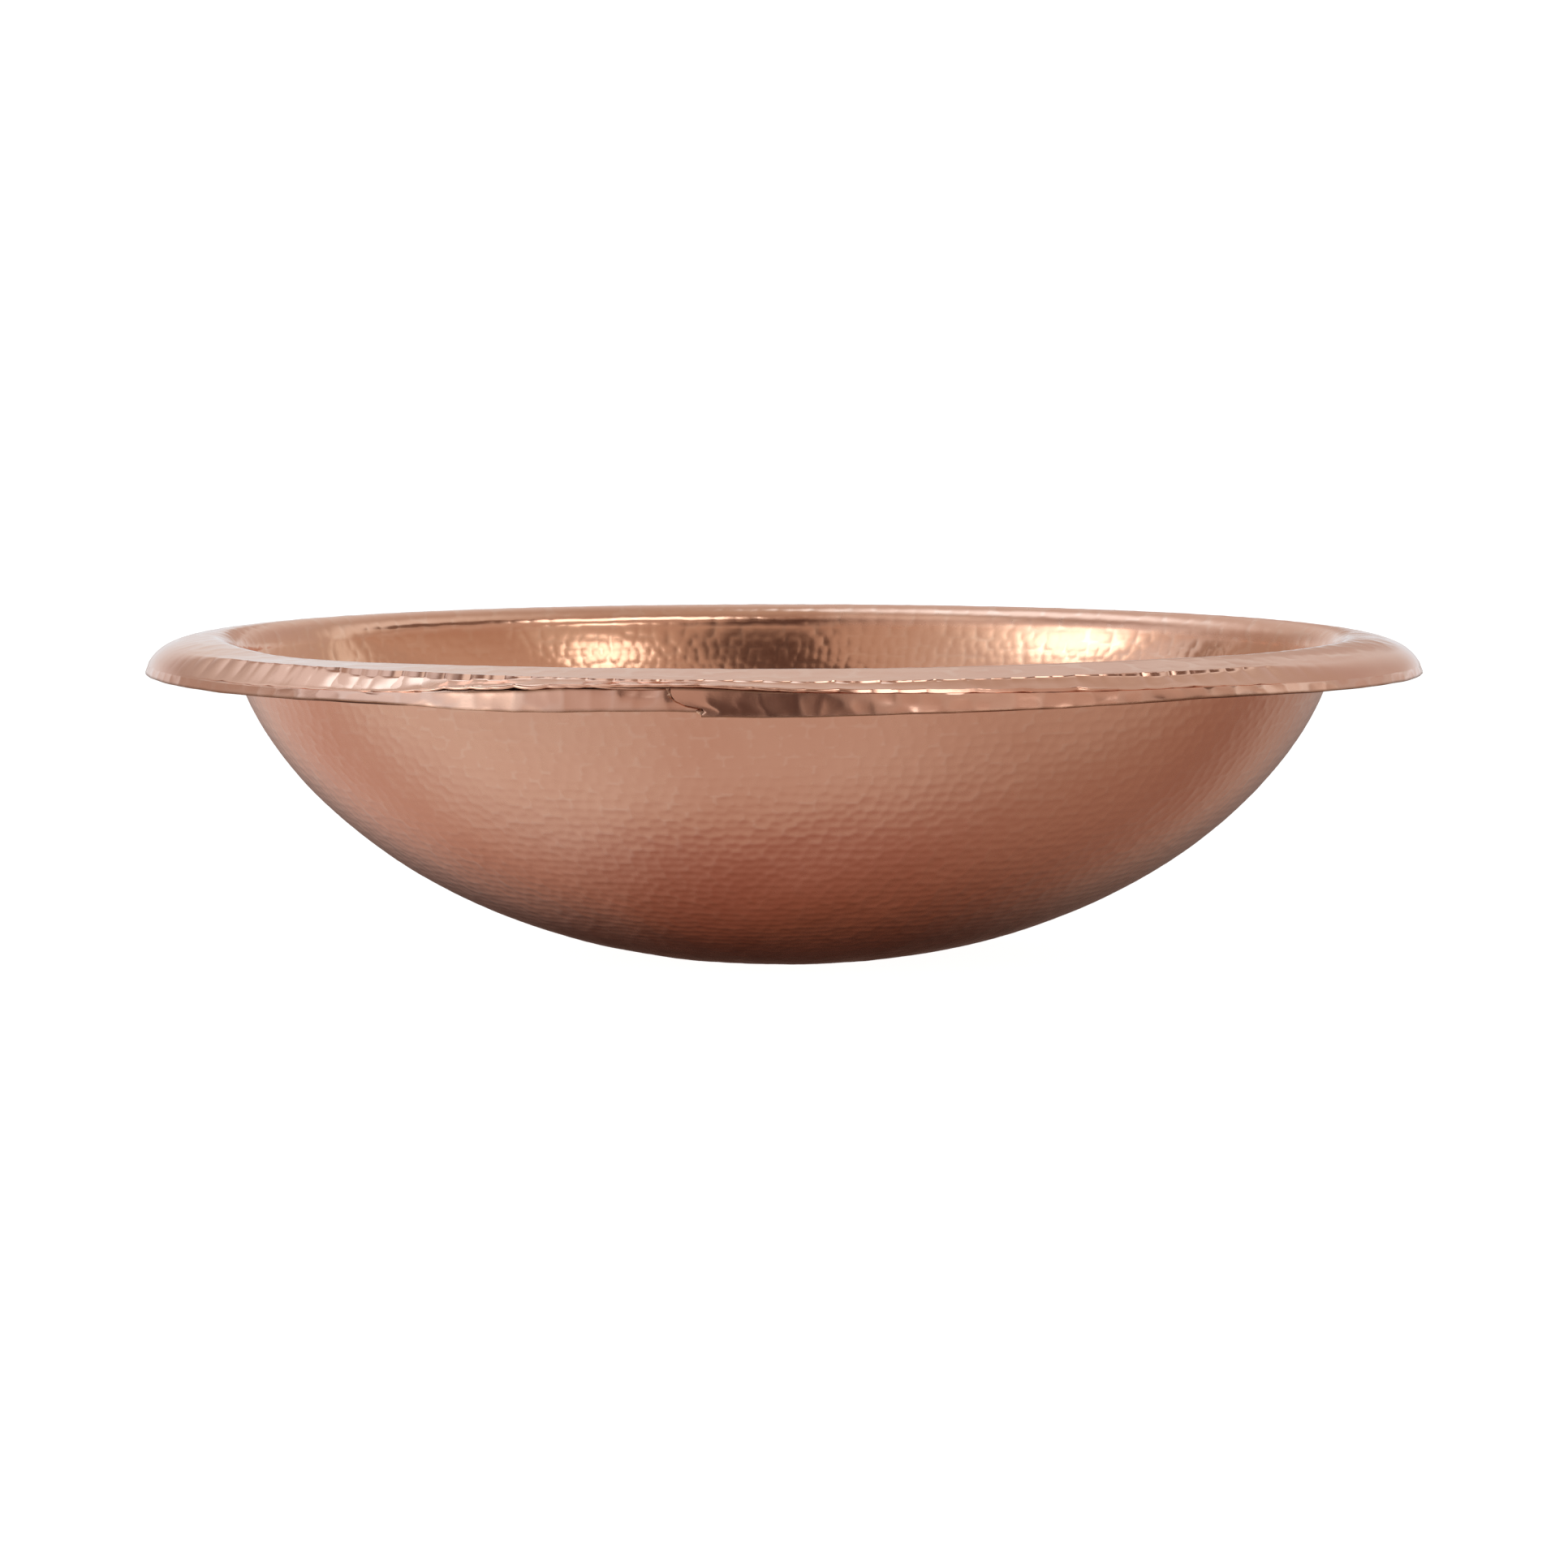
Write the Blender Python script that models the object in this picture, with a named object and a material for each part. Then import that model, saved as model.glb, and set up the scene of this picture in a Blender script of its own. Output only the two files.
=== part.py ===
"""Hammered copper wash basin, oval and self-rimming, standing on its drain land.

Built as a coppersmith builds it: one raised shell with a flanged rim, a strip of
sheet bent round under the flange as its skirt, and the braze that holds the two.

Frame: metres, +Z up, +X along the oval's length, -Y to the front where the skirt's
ends lap. The origin is the centre of the drain land's underside.
"""
import math

import bmesh
import bpy
import numpy as np

# Outer oval of the rim, measured at the skirt's bottom edge.
HALF_LENGTH = 0.2413
HALF_WIDTH = 0.1778
# Sheet and the clearance left between touching pieces.
SHEET = 0.0016
GAP = 0.0003
# Height of the skirt's bottom edge above the drain land's underside.
SKIRT_BASE = 0.1080

# Rim, underside of the sheet: inset from the outer oval, rise above the skirt's base.
# The flange's lip hangs lower round the ends than along the sides.
LIP_RISE_SIDE = 0.0082
LIP_RISE_END = 0.0039
LIP_SIDE_POWER = 8
LIP_BEHIND_SKIRT = 0.0005
LIP_SHEET = 0.0007
SHOULDER = (0.0100, 0.0107)
CREST = (0.0250, 0.0124)
ROLL_DROP = 0.0073
ROLL_STEPS = 5

# Wall, outer face: a superellipse section from the drain land up to the roll.
WALL_INSET = 0.0323
WALL_TOP = 0.0132
WALL_DEPTH = WALL_TOP + SKIRT_BASE
WALL_POWER_OUT = 1.845
WALL_POWER_DOWN = 1.693
WALL_STEPS = 12
LAND_RADIUS = 0.0300
DRAIN_RADIUS = 0.0222
SEGMENTS = 80

# Skirt strip: leans in as it rises, then turns in under the flange.
SKIRT_LEAN = math.radians(20.8)
TUCK_END = 0.0098
LAP_OUTER_X = -0.0280
LAP_INNER_X = -0.0020
JOGGLE_END_X = -0.0330
JOGGLE_START_X = -0.0480
JOGGLE_DEPTH = SHEET + GAP

# Braze fillet under the flange, inboard of the strip, and the bead at the lap.
FILLET_WIDTH = 0.0032
FILLET_HEIGHT = 0.0016
BEAD_LENGTH = 0.0036
BEAD_BASE = 0.0006
BEAD_TOP = 0.0066
BEAD_EDGE = 0.00025

COPPER = (0.78, 0.42, 0.29, 1.0)
BRAZE = (0.80, 0.52, 0.33, 1.0)


def clear_scene():
    for thing in list(bpy.data.objects):
        bpy.data.objects.remove(thing, do_unlink=True)


def metal(name, colour, roughness):
    material = bpy.data.materials.new(name)
    material.use_nodes = True
    shader = material.node_tree.nodes["Principled BSDF"]
    shader.inputs["Base Color"].default_value = colour
    shader.inputs["Metallic"].default_value = 1.0
    shader.inputs["Roughness"].default_value = roughness
    return material


def on_oval(angle, inset, height):
    """Point set in from the outer oval, square to it, at a height above the base."""
    outward = np.array([math.cos(angle) / HALF_LENGTH, math.sin(angle) / HALF_WIDTH])
    outward = outward / np.linalg.norm(outward)
    x = HALF_LENGTH * math.cos(angle) - inset * outward[0]
    y = HALF_WIDTH * math.sin(angle) - inset * outward[1]
    return np.array([x, y, height])


def front_angle(x):
    """Angle of the outer oval's front point at this x, between 180 and 360 degrees."""
    return 1.5 * math.pi + math.asin(x / HALF_LENGTH)


def lip(angle):
    """Inset and rise of the lip's underside, set just behind the skirt's outer face."""
    side = abs(math.sin(angle)) ** LIP_SIDE_POWER
    rise = LIP_RISE_END + (LIP_RISE_SIDE - LIP_RISE_END) * side
    return rise * math.tan(SKIRT_LEAN) + LIP_BEHIND_SKIRT, rise


def wall_rise(reach):
    """Height above the skirt's base of the wall's outer face.

    reach runs from 0 at the drain land to 1 where the wall would stand upright.
    """
    fall = (1.0 - reach ** WALL_POWER_OUT) ** (1.0 / WALL_POWER_DOWN)
    return WALL_TOP - WALL_DEPTH * fall


def wall_reach(rise):
    """The reach at which the wall's outer face has this height."""
    fall = ((WALL_TOP - rise) / WALL_DEPTH) ** WALL_POWER_DOWN
    return (1.0 - fall) ** (1.0 / WALL_POWER_OUT)


def wall_point(angle, reach):
    """Point of the wall's outer face, blended from the round land to the oval rim."""
    top = on_oval(angle, WALL_INSET, 0.0)
    land = LAND_RADIUS * np.array([math.cos(angle), math.sin(angle), 0.0])
    point = land + (top - land) * reach
    point[2] = SKIRT_BASE + wall_rise(reach)
    return point


def shell_column(angle):
    """Outer face of the shell at one angle, from the lip in to the drain hole."""
    column = []
    for inset, rise in (lip(angle), SHOULDER, CREST):
        column.append(on_oval(angle, inset, SKIRT_BASE + rise))
    top_reach = wall_reach(CREST[1] - ROLL_DROP)
    wall_top = wall_point(angle, top_reach)
    crest = column[-1]
    for step in range(1, ROLL_STEPS):
        turn = 0.5 * math.pi * step / ROLL_STEPS
        point = crest + (wall_top - crest) * math.sin(turn)
        point[2] = crest[2] - ROLL_DROP * (1.0 - math.cos(turn))
        column.append(point)
    top_turn = math.asin(top_reach)
    for turn in np.linspace(top_turn, 0.0, WALL_STEPS):
        column.append(wall_point(angle, math.sin(turn)))
    land = np.array([math.cos(angle), math.sin(angle), 0.0])
    column.append(land * DRAIN_RADIUS)
    return column


def surface_normals(grid):
    """Unit normals of a grid of points whose second index runs round the oval."""
    along = np.gradient(grid, axis=0)
    around = np.roll(grid, -1, axis=1) - np.roll(grid, 1, axis=1)
    normals = np.cross(around, along)
    return normals / np.linalg.norm(normals, axis=2, keepdims=True)


def loft(name, sections, material, closed):
    """Joins closed sections, each a list of points, into one solid.

    With closed set the last section meets the first; otherwise both ends are capped.
    """
    mesh = bmesh.new()
    rings = [[mesh.verts.new(point) for point in section] for section in sections]
    pairs = list(zip(rings, rings[1:]))
    if closed:
        pairs.append((rings[-1], rings[0]))
    else:
        mesh.faces.new(rings[0])
        mesh.faces.new(rings[-1])
    for ring, following in pairs:
        for i in range(len(ring)):
            j = (i + 1) % len(ring)
            mesh.faces.new((ring[i], ring[j], following[j], following[i]))
    bmesh.ops.recalc_face_normals(mesh, faces=mesh.faces)
    data = bpy.data.meshes.new(name)
    mesh.to_mesh(data)
    mesh.free()
    data.shade_smooth()
    data.set_sharp_from_angle(angle=math.radians(30.0))
    data.materials.append(material)
    thing = bpy.data.objects.new(name, data)
    bpy.context.scene.collection.objects.link(thing)
    return thing


def build_shell(material):
    """The raised bowl with its rolled rim, flange and drain land, in one sheet."""
    angles = np.linspace(0.0, 2.0 * math.pi, SEGMENTS, endpoint=False)
    outer = np.array([shell_column(angle) for angle in angles]).transpose(1, 0, 2)
    normals = surface_normals(outer)
    if normals[2, 0, 2] < 0.0:
        normals = -normals
    normals[-2:] = (0.0, 0.0, 1.0)
    sheet = np.full(len(outer), SHEET)
    sheet[0] = LIP_SHEET
    inner = outer + normals * sheet[:, None, None]
    sections = [list(outer[:, i]) + list(inner[::-1, i]) for i in range(SEGMENTS)]
    return loft("bowl_shell", sections, material, closed=True)


FLARE = (np.array([0.0, 0.0]), np.array([math.sin(SKIRT_LEAN), math.cos(SKIRT_LEAN)]))


def tuck_line(angle):
    """Outer face of the strip's tucked edge in section, just under the flange."""
    along = np.array(SHOULDER) - np.array(lip(angle))
    along = along / np.linalg.norm(along)
    below = np.array([along[1], -along[0]])
    return np.array(lip(angle)) + below * GAP, along


def at_depth(line, depth):
    """A line of the section, (point, direction), moved in square to itself."""
    point, along = line
    return point + np.array([along[1], -along[0]]) * depth, along


def crossing(first, second):
    """Point where two lines of the section meet."""
    matrix = np.column_stack((first[1], -second[1]))
    distance = np.linalg.solve(matrix, second[0] - first[0])[0]
    return first[0] + first[1] * distance


def skirt_face(angle, depth):
    """Bottom, knee and tucked end of a line this deep behind the strip's outer face."""
    flare = at_depth(FLARE, depth)
    tuck = at_depth(tuck_line(angle), depth)
    bottom = crossing(flare, (np.array([0.0, 0.0]), np.array([1.0, 0.0])))
    end = crossing(tuck, (np.array([TUCK_END, 0.0]), np.array([0.0, 1.0])))
    return [bottom, crossing(flare, tuck), end]


def placed(angle, points):
    """Section points, given as inset and rise, set round the oval at an angle."""
    return [on_oval(angle, inset, SKIRT_BASE + rise) for inset, rise in points]


def joggle(x):
    """How far the strip has stepped in behind its outer end, on the lap's side."""
    part = (x - JOGGLE_START_X) / (JOGGLE_END_X - JOGGLE_START_X)
    part = min(max(part, 0.0), 1.0)
    return JOGGLE_DEPTH * part * part * (3.0 - 2.0 * part)


def build_skirt(material):
    """The strip, bent once round the oval, its last end stepped in behind its first."""
    first = front_angle(LAP_OUTER_X) - 2.0 * math.pi
    stepping_from = front_angle(JOGGLE_START_X)
    facet = 2.0 * math.pi / SEGMENTS
    facets = range(math.ceil(first / facet), math.ceil(stepping_from / facet))
    angles = [first] + [facet * i for i in facets]
    angles += [front_angle(x) for x in np.linspace(JOGGLE_START_X, JOGGLE_END_X, 6)]
    angles += [front_angle(x) for x in np.linspace(JOGGLE_END_X, LAP_INNER_X, 4)[1:]]
    sections = []
    for angle in angles:
        x = HALF_LENGTH * math.sin(angle - 1.5 * math.pi)
        depth = joggle(x) if angle >= stepping_from else 0.0
        section = skirt_face(angle, depth) + skirt_face(angle, depth + SHEET)[::-1]
        sections.append(placed(angle, section))
    return loft("rim_skirt", sections, material, closed=False)


def build_fillet(material):
    """Run of braze under the flange, against the strip's tucked edge, all round."""
    slope = (CREST[1] - SHOULDER[1]) / (CREST[0] - SHOULDER[0])
    near = TUCK_END + 2.0 * GAP
    far = near + FILLET_WIDTH
    near_top = SHOULDER[1] + slope * (near - SHOULDER[0]) - 2.0 * GAP
    far_top = SHOULDER[1] + slope * (far - SHOULDER[0]) - 2.0 * GAP
    middle = 0.5 * (near + far)
    section = [
        (near, near_top - FILLET_HEIGHT),
        (near, near_top),
        (far, far_top),
        (middle, near_top - 0.6 * FILLET_HEIGHT),
    ]
    angles = np.linspace(0.0, 2.0 * math.pi, SEGMENTS, endpoint=False)
    sections = [placed(angle, section) for angle in angles]
    return loft("rim_braze", sections, material, closed=True)


def build_bead(material):
    """Bead of braze against the strip's outer end, feathered out along the lap."""
    back = SHEET
    sections = []
    for part in np.linspace(0.0, 1.0, 4):
        x = LAP_OUTER_X - GAP - BEAD_LENGTH * part
        front = BEAD_EDGE + (back - 2.0 * BEAD_EDGE) * math.sin(0.5 * math.pi * part)
        section = []
        for depth, rise in ((front, BEAD_BASE), (front, BEAD_TOP), (back, BEAD_TOP), (back, BEAD_BASE)):
            level = (np.array([0.0, rise]), np.array([1.0, 0.0]))
            section.append(crossing(at_depth(FLARE, depth), level))
        sections.append(placed(front_angle(x), section))
    return loft("lap_braze", sections, material, closed=False)


def build():
    clear_scene()
    sheet_copper = metal("sheet_copper", COPPER, 0.28)
    skirt_copper = metal("skirt_copper", COPPER, 0.25)
    braze = metal("braze", BRAZE, 0.40)
    build_shell(sheet_copper)
    build_skirt(skirt_copper)
    build_fillet(braze)
    build_bead(braze)


build()
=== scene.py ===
"""Looks of the hammered copper wash basin: hammered meshes, copper, light and camera."""
import math

import bpy
import numpy as np
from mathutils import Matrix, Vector


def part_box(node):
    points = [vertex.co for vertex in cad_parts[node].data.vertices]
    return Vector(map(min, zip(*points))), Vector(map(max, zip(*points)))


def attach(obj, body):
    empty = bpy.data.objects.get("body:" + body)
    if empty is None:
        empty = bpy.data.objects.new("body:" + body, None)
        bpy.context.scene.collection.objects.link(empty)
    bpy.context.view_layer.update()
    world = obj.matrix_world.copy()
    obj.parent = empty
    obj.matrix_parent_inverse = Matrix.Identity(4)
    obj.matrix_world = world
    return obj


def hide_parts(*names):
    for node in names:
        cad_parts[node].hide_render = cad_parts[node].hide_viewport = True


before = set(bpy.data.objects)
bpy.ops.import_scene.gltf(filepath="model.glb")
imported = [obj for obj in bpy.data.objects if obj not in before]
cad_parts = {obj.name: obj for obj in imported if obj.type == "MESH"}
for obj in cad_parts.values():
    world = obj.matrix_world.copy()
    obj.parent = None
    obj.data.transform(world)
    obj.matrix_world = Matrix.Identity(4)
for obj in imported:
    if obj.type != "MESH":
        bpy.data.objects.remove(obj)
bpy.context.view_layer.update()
MM = 0.001
TAU = 2.0 * math.pi
FRONT = 1.5 * math.pi

# Sizes read from the frame.
SKIRT_LOW, SKIRT_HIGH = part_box("rim_skirt")
HALF_LENGTH = SKIRT_HIGH.x
HALF_WIDTH = SKIRT_HIGH.y
SKIRT_BASE = SKIRT_LOW.z

# Sections of the sheet, as in the frame: inset from the outer oval, rise above the skirt.
SHEET = 1.6 * MM
GAP = 0.3 * MM
LIP_RISE_SIDE = 8.2 * MM
LIP_RISE_END = 3.9 * MM
LIP_SIDE_POWER = 8
LIP_BEHIND_SKIRT = 0.5 * MM
SHOULDER = (10.0 * MM, 10.7 * MM)
CREST = (25.0 * MM, 12.4 * MM)
ROLL_DROP = 7.3 * MM
WALL_INSET = 32.3 * MM
WALL_TOP = 13.2 * MM
WALL_DEPTH = WALL_TOP + SKIRT_BASE
WALL_POWER_OUT = 1.845
WALL_POWER_DOWN = 1.693
LAND_RADIUS = 30.0 * MM
DRAIN_RADIUS = 22.2 * MM
SKIRT_LEAN = math.radians(20.8)
TUCK_END = 9.8 * MM
LAP_OUTER_X = -28.0 * MM
LAP_INNER_X = -2.0 * MM

# Where the looks go their own way: the lip beaten thin, the long joggle behind the strip's
# outer end, its ragged tongue and its filed edge, and the sag of the rim into the wall.
LIP_SHEET = 0.9 * MM
LIP_SHEET_AT_ENDS = 0.16 * MM
JOGGLE_END_X = -43.0 * MM
JOGGLE_START_X = -105.0 * MM
TONGUE = 11.5 * MM
TONGUE_FADE = 10.0 * MM
EDGE_ROUND = 0.35 * MM
SAG_REACH = 18.0 * MM

# The top of the sheet at the shoulder line and at the crest, and the slope the line wanders up.
SHOULDER_TOP = np.array((9.3, 12.05)) * MM
CREST_TOP = np.array((CREST[0], CREST[1] + SHEET))
LAND_SLOPE = 1.9 / 15.7

# Mesh density: columns round the rim, the girths below which they are halved, the step down
# the wall, and the rows on the other stretches.
COLUMNS = 1584
HALVING_GIRTHS = (0.74, 0.36)
STATION = 0.95 * MM
UNDER_BAND_ROWS = 7
BAND_ROWS = 9
LAND_ROWS = 13
ROLL_ROWS = 10
DRAIN_ROWS = 7
TUCK_ROWS = 6


# ---- plan and sections

# Length round the outer oval against angle, from just before the front to just past it.
ROUND_ANGLE = np.linspace(FRONT - 0.5, FRONT + TAU + 0.5, 30001)
ROUND_SPEED = np.hypot(HALF_LENGTH * np.sin(ROUND_ANGLE), HALF_WIDTH * np.cos(ROUND_ANGLE))
ROUND_STEP = ROUND_ANGLE[1] - ROUND_ANGLE[0]
ROUND_LENGTH = np.cumsum(ROUND_SPEED) * ROUND_STEP
ROUND_LENGTH -= np.interp(FRONT, ROUND_ANGLE, ROUND_LENGTH)
RIM_LENGTH = np.interp(FRONT + TAU, ROUND_ANGLE, ROUND_LENGTH)


def angle_at(length):
    """Angle of the point this length round the outer oval from the front."""
    return np.interp(length, ROUND_LENGTH, ROUND_ANGLE)


def length_at_x(x):
    """Length round the outer oval, from the front, of the front point at this x."""
    return np.interp(FRONT + math.asin(x / HALF_LENGTH), ROUND_ANGLE, ROUND_LENGTH)


def on_oval(angle, inset, height):
    """Points set in from the outer oval, square to it."""
    across = np.cos(angle) / HALF_LENGTH
    forward = np.sin(angle) / HALF_WIDTH
    size = np.hypot(across, forward)
    x = HALF_LENGTH * np.cos(angle) - inset * across / size
    y = HALF_WIDTH * np.sin(angle) - inset * forward / size
    return np.stack(np.broadcast_arrays(x, y, height), axis=-1)


def lip_section(angle):
    """Inset and rise of the lip's underside round the rim."""
    side = np.abs(np.sin(angle)) ** LIP_SIDE_POWER
    rise = LIP_RISE_END + (LIP_RISE_SIDE - LIP_RISE_END) * side
    return rise * math.tan(SKIRT_LEAN) + LIP_BEHIND_SKIRT, rise


def eased(part):
    """Smooth step: 0 up to 0, and 1 from 1 on."""
    part = np.clip(part, 0.0, 1.0)
    return part * part * (3.0 - 2.0 * part)


# How the rim was formed by hand: how far the front half sits lower than the plain section,
# at shares of the half length from the left end to the right, for the skirt's bottom edge,
# the lip, the shoulder line and the crest.
FORMED_AT = (-1.0, -0.85, -0.72, -0.59, -0.46, -0.30, -0.12, 0.0, 0.12, 0.30, 0.48, 0.62, 0.80, 1.0)
FORMED_INSETS = (0.0, 3.4 * MM, 9.5 * MM, 24.0 * MM)
FORMED_DROPS = MM * np.array((
    (0.0, 0.7, 0.0, -0.6, 1.2, 1.9, 2.0, 1.9, 1.1, 0.1, -0.5, -2.0, -1.0, 0.0),
    (0.0, 0.7, 0.9, 1.5, -1.1, -0.8, -0.7, 1.3, 1.5, 0.9, 0.0, -0.8, -0.4, 0.0),
    (0.0, 1.2, 0.9, 0.9, 1.2, 1.5, 1.6, 2.1, 2.0, 1.7, 1.2, 1.4, 0.8, 0.0),
    (0.0, 2.4, 2.2, 1.7, 1.3, 1.0, 0.8, 0.7, 0.7, 0.5, 0.1, 0.0, 0.3, 0.0),
))
# The back half sits evenly low by this much, fading out over this share of the half length
# at each end.
FORMED_BACK = MM * np.array((0.0, 0.2, 1.4, 0.3))
FORMED_BACK_END = 0.06
# Sine of the angle from the side over which the front's forming fades in.
FORMED_FADE = 0.12
# Samples of a line of drops, and the odd number of them that its corners are rounded over.
FORMED_SAMPLES = 401
FORMED_ROUNDING = 41


def formed_drop(angle, inset):
    """How far the hand-formed rim sits below the plain section at these places."""
    angle, inset = np.broadcast_arrays(angle, inset)
    share = np.cos(angle)
    front = eased(-np.sin(angle) / FORMED_FADE)
    ends = np.sqrt(np.clip((1.0 - np.abs(share)) / FORMED_BACK_END, 0.0, 1.0))
    fine = np.linspace(-1.0, 1.0, FORMED_SAMPLES)
    rounding = np.hanning(FORMED_ROUNDING)
    rounding = rounding / rounding.sum()
    drops = []
    for line, level in zip(FORMED_DROPS, FORMED_BACK):
        curve = np.pad(np.interp(fine, FORMED_AT, line), FORMED_ROUNDING // 2, mode="edge")
        curve = np.convolve(curve, rounding, mode="valid")
        back = level * ends
        drops.append(back + (np.interp(share, fine, curve) - back) * front)
    drops = np.array(drops)
    last = len(drops) - 1
    place = np.interp(inset, FORMED_INSETS, np.arange(last + 1.0))
    nearest = np.minimum(place.astype(int), last - 1)
    outer = np.take_along_axis(drops, nearest[None], axis=0)[0]
    inner = np.take_along_axis(drops, nearest[None] + 1, axis=0)[0]
    return outer + (inner - outer) * (place - nearest)


def wall_rise(reach):
    """Height of the wall's outer face, above the skirt's bottom, at a reach out from the land."""
    fall = (1.0 - reach ** WALL_POWER_OUT) ** (1.0 / WALL_POWER_DOWN)
    return WALL_TOP - WALL_DEPTH * fall


def wall_reach(rise):
    """The reach at which the wall's outer face is this high: wall_rise turned round."""
    fall = ((WALL_TOP - rise) / WALL_DEPTH) ** WALL_POWER_DOWN
    return (1.0 - fall) ** (1.0 / WALL_POWER_OUT)


def wall_point(angle, reach):
    """Points of the wall's outer face, blended from the round land to the oval rim."""
    top = on_oval(angle, WALL_INSET, 0.0)
    land = LAND_RADIUS * np.stack((np.cos(angle), np.sin(angle), np.zeros_like(angle)), axis=-1)
    point = land + (top - land) * reach
    point[..., 2] = SKIRT_BASE + wall_rise(reach)
    return point


def spaced(values, lengths, step):
    """Resamples values at equal steps of length, keeping both ends."""
    count = max(2, int(round((lengths[-1] - lengths[0]) / step)) + 1)
    return np.interp(np.linspace(lengths[0], lengths[-1], count), lengths, values)


def wall_reaches():
    """Reaches of the wall's stations from the roll down, at equal steps down the wall."""
    between_front_and_side = np.array(FRONT + 0.8)
    top = wall_reach(CREST[1] - ROLL_DROP)
    turns = np.linspace(math.asin(top), 0.0, 800)
    diagonal = np.array([wall_point(between_front_and_side, math.sin(turn)) for turn in turns])
    length = np.concatenate(([0.0], np.cumsum(np.linalg.norm(np.diff(diagonal, axis=0), axis=1))))
    return np.sin(spaced(turns, length, STATION))


def normals_of(grid):
    """Unit normals of a grid whose second index runs round the rim, pointing up or in."""
    along = np.gradient(grid, axis=0)
    around = np.roll(grid, -1, axis=1) - np.roll(grid, 1, axis=1)
    normals = np.cross(around, along)
    # Rows that meet in one line, at the rim's two noses, have no normal and keep none.
    normals /= np.maximum(np.linalg.norm(normals, axis=2, keepdims=True), 1e-12)
    if normals[:, :, 2].mean() < 0.0:
        normals = -normals
    return normals


def down_length(grid):
    """Mean length down the columns of a grid, at each station."""
    steps = np.linalg.norm(np.diff(grid, axis=0), axis=2).mean(axis=1)
    return np.concatenate(([0.0], np.cumsum(steps)))


def girth_of(grid):
    """Length round each station of a grid."""
    return np.linalg.norm(grid - np.roll(grid, 1, axis=1), axis=2).sum(axis=1)


# ---- hammer marks

def smooth_wave(turn, seed, waves):
    """A slow periodic wave, between -1 and 1, for lines drawn by eye."""
    rng = np.random.default_rng(seed)
    total = np.zeros_like(turn)
    for wave in waves:
        total += rng.uniform(0.5, 1.0) * np.sin(TAU * (wave * turn + rng.random()))
    return total / len(waves)


# Ridges between marks are dressed off at this many depths of a mark.
RIDGE_TOP = 1.6


def planish(row, row_height, turn, girth, pitch, depth, seed, jitter, lift, tilt, shingle=0.0):
    """Height left above the deepest mark by rows of overlapping hammer marks.

    row is the row coordinate of each point, in rows; turn its share of the way round.
    Each mark is a shallow, squarish dish, and the lowest dish at a point is what is left
    there. jitter shifts the marks, lift and tilt vary their level and slope, and shingle
    leans them all the same way down.
    """
    row = np.broadcast_to(row, np.broadcast_shapes(row.shape, turn.shape))
    first = int(np.floor(row.min())) - 2
    rows = int(np.ceil(row.max())) + 3 - first
    station_row = row.mean(axis=1) if row.ndim > 1 else row
    order = np.argsort(station_row)
    centres = np.arange(first, first + rows) + 0.5
    row_girth = np.interp(centres, station_row[order], girth[:, 0][order])
    row_pitch = np.interp(centres, station_row[order], pitch[:, 0][order])
    counts = np.maximum(3, np.round(row_girth / row_pitch)).astype(int)
    rng = np.random.default_rng(seed)
    table = rng.random((rows, counts.max(), 5))
    phases = rng.random(rows)
    nearest = np.floor(row).astype(int) - first
    best = np.full(row.shape, np.inf)
    for row_step in (-1, 0, 1):
        index = nearest + row_step
        count = counts[index]
        place = (turn * count + phases[index]) % count
        mark_here = np.floor(place).astype(int)
        away = row - (index + first + 0.5)
        for mark_step in (-1, 0, 1):
            mark = mark_here + mark_step
            draw = table[index, mark % count]
            side = (place - (mark + 0.5 + jitter * (draw[..., 0] - 0.5))) * girth / count
            down = (away - jitter * (draw[..., 1] - 0.5)) * row_height
            dish = np.sqrt((side / (0.5 * pitch)) ** 4 + (down / (0.5 * row_height)) ** 4)
            height = depth * (dish + lift * draw[..., 2])
            height = height + tilt * (draw[..., 3] - 0.5) * side
            height = height + (tilt * (draw[..., 4] - 0.5) + shingle) * down
            best = np.minimum(best, height)
    return best


def facets(place, length, pitch, depth, seed, jitter, lift):
    """One row of long marks round a closed length: height left, and each mark's draw."""
    count = int(round(length / pitch))
    rng = np.random.default_rng(seed)
    table = rng.random((count, 4))
    position = (place / length * count) % count
    here = np.floor(position).astype(int)
    best = np.full(position.shape, np.inf)
    chosen = np.zeros(position.shape)
    for step in (-1, 0, 1):
        mark = here + step
        draw = table[mark % count]
        side = (position - (mark + 0.5 + jitter * (draw[..., 0] - 0.5))) * length / count
        height = depth * ((side / (0.5 * pitch)) ** 2 + lift * draw[..., 1])
        nearer = height < best
        best = np.where(nearer, height, best)
        chosen = np.where(nearer, draw[..., 2], chosen)
    return best, chosen


# ---- mesh building

def ring_faces(count, following, start, next_start):
    """Faces between two rings of equal counts, or with one twice the other."""
    if count == following:
        here = np.arange(count)
        after = (here + 1) % count
        quads = np.stack((start + here, start + after, next_start + after, next_start + here), 1)
        return quads.tolist()
    flip = following > count
    many, few = (following, count) if flip else (count, following)
    base, other = (next_start, start) if flip else (start, next_start)
    pair = np.arange(few)
    left = base + 2 * pair
    middle = left + 1
    right = base + (2 * pair + 2) % many
    under = other + pair
    under_next = other + (pair + 1) % few
    triangles = np.concatenate((
        np.stack((left, middle, under), 1),
        np.stack((middle, under_next, under), 1),
        np.stack((middle, right, under_next), 1),
    ))
    if flip:
        triangles = triangles[:, ::-1]
    return triangles.tolist()


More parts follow.
